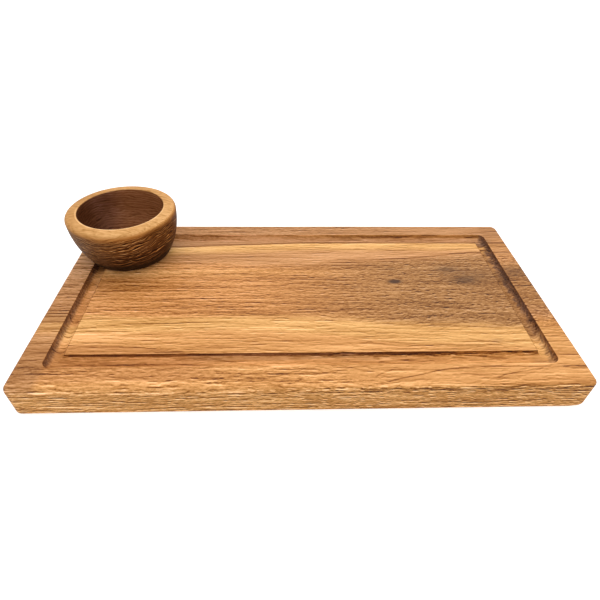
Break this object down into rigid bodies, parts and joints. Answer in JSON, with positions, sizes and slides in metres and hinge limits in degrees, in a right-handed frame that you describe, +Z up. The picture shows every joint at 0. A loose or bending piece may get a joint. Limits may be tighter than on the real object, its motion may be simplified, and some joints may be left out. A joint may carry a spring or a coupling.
{
  "type": "chip and dip server",
  "caption": "Thick rectangular wooden serving board with a juice groove round its top, and a loose round turned wooden dip bowl standing on its back corner across the groove.",
  "frame": {"origin": "centre of the board's underside, on the surface that it stands on", "axes": "+X along the board to the right, +Y to the back, +Z up"},
  "size_m": [0.4, 0.2015, 0.07],
  "materials": {
    "board_wood": "oiled flat-sawn hardwood, honey brown with a darker heart, satin",
    "bowl_wood": "oiled turned hardwood, honey brown rim over a dark brown wall and inside, satin"
  },
  "bodies": {
    "board": {"serving_board": "board_wood"},
    "bowl": {"dip_bowl": "bowl_wood"}
  },
  "joints": [
    {"name": "bowl_lift", "type": "slide", "parent": "board", "child": "bowl", "axis": [0, 0, 1], "range_m": [0, 0.12]}
  ]
}
